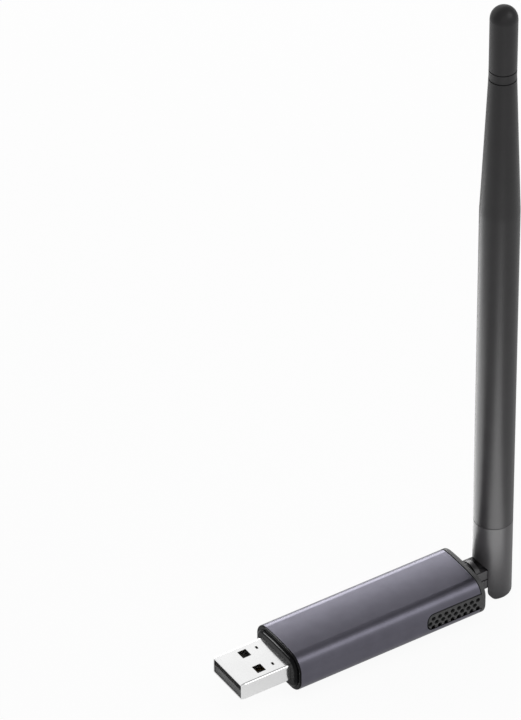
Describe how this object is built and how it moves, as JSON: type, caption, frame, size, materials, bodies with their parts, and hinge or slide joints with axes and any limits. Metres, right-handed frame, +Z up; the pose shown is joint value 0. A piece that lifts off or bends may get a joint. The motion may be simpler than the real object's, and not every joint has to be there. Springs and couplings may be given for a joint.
{
  "type": "smart home usb radio stick",
  "caption": "USB stick in a rounded metal sleeve with vented plastic wings and a whip antenna that tilts, swivels and unscrews.",
  "frame": {"origin": "on the flat underside of the metal sleeve, at the middle of the sleeve's length and width", "axes": "+X from the USB plug to the antenna, +Z up along the standing antenna, +Y across the stick"},
  "size_m": [0.076, 0.0178, 0.1614],
  "materials": {
    "sleeve_metal": "fine bead-blasted grey anodising, satin",
    "gloss_black": "high gloss",
    "cap_plastic": "fine moulded texture",
    "plug_steel": "bright nickel plating",
    "tongue_plastic": "moulded",
    "contact_gold": "gold flash plating",
    "board_laminate": "solder mask",
    "chip_black": "moulded package",
    "can_steel": "tinned",
    "jack_brass": "gold plated",
    "dielectric": "turned fluoropolymer",
    "nut_metal": "black plated",
    "spring_steel": "bright",
    "knuckle_plastic": "moulded, satin",
    "whip_plastic": "fine satin texture",
    "lead_jacket": "extruded",
    "radiator_brass": "drawn",
    "spacer_foam": "cut foam"
  },
  "bodies": {
    "stick": {"sleeve": "sleeve_metal", "front_cap": "gloss_black", "rear_cap": "cap_plastic", "plug_shell": "plug_steel", "plug_tongue": "tongue_plastic", "plug_contact_1": "contact_gold", "plug_contact_2": "contact_gold", "plug_contact_3": "contact_gold", "plug_contact_4": "contact_gold", "circuit_board": "board_laminate", "radio_shield": "can_steel", "radio_chip": "chip_black", "bridge_chip": "chip_black", "crystal": "can_steel", "regulator": "chip_black", "capacitors": "chip_black", "jack_body": "jack_brass", "jack_insulator": "dielectric", "jack_contact": "jack_brass"},
    "connector": {"ferrule": "jack_brass", "ferrule_insulator": "dielectric", "centre_pin": "jack_brass", "nut_snap_ring": "spring_steel", "neck_snap_ring": "spring_steel"},
    "nut": {"coupling_nut": "nut_metal"},
    "neck": {"neck": "knuckle_plastic", "neck_lead": "lead_jacket"},
    "antenna": {"fork": "knuckle_plastic", "whip": "whip_plastic", "antenna_lead": "lead_jacket", "radiator_choke": "radiator_brass", "radiator_rod": "radiator_brass", "rod_spacer_1": "spacer_foam", "rod_spacer_2": "spacer_foam"}
  },
  "joints": [
    {"name": "antenna_travel", "type": "slide", "parent": "stick", "child": "connector", "axis": [1, 0, 0], "range_m": [0, 0.00424]},
    {"name": "nut_spin", "type": "hinge", "parent": "connector", "child": "nut", "pos_m": [0.0231, 0, 0.00513], "axis": [1, 0, 0], "range_deg": [0, 2160]},
    {"name": "antenna_swivel", "type": "hinge", "parent": "connector", "child": "neck", "pos_m": [0.02705, 0, 0.00513], "axis": [1, 0, 0], "range_deg": [-180, 180]},
    {"name": "antenna_tilt", "type": "hinge", "parent": "neck", "child": "antenna", "pos_m": [0.03331, 0, 0.00513], "axis": [0, 1, 0], "range_deg": [0, 90]}
  ],
  "couplings": [
    {"joint": "nut_spin", "follows": "antenna_travel", "rad_per_m": 8899.7}
  ]
}
